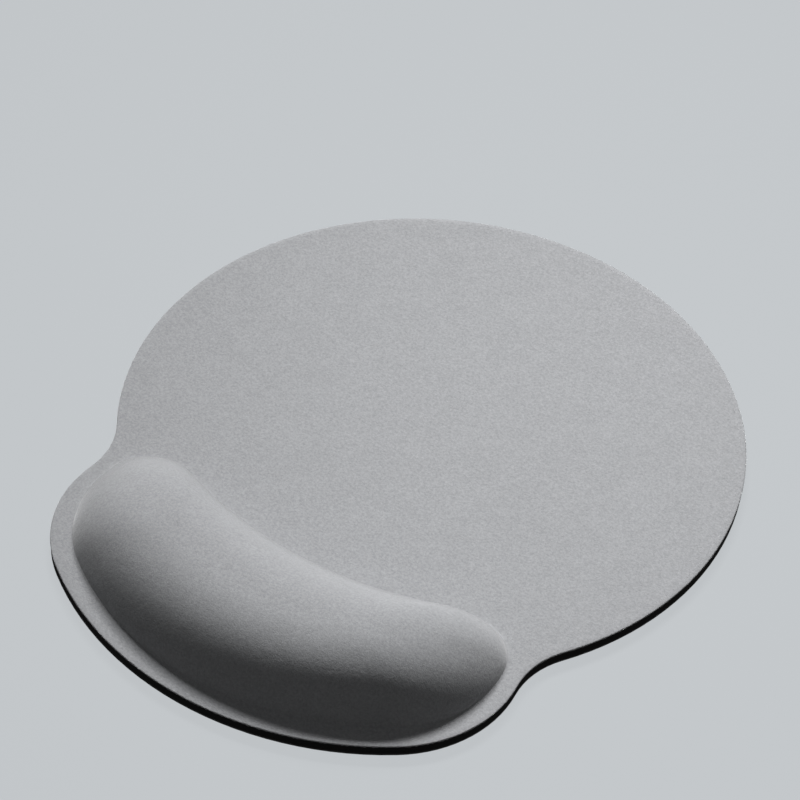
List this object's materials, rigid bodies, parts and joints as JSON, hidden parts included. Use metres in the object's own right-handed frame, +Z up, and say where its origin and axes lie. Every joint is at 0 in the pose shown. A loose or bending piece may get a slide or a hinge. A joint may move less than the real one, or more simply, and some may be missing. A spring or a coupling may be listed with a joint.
{
  "type": "wrist rest mouse pad",
  "caption": "Mouse pad with a crescent-shaped foam wrist rest under one stretched grey fabric cover on a black non-slip base.",
  "frame": {"origin": "on the desk plane, under the centre of the pad's bounding box", "axes": "+X to the user's right, +Y from the wrist end towards the far end, +Z up out of the mouse surface"},
  "size_m": [0.22, 0.2612, 0.025],
  "materials": {
    "grip_skin": "satin, with shallow hexagonal grip cells",
    "base_rubber": "matte fine-cell foam with a die-cut edge",
    "adhesive": "tacky film",
    "foam": "open-cell memory foam",
    "bond_film": "hot-melt film",
    "cover_fabric": "fine knitted stretch fabric, brushed matte"
  },
  "bodies": {
    "root": {"grip_skin": "grip_skin", "base_sheet": "base_rubber", "foam_bond_sheet": "adhesive", "wrist_foam": "foam", "fabric_bond_film": "bond_film", "top_fabric": "cover_fabric"}
  },
  "joints": []
}
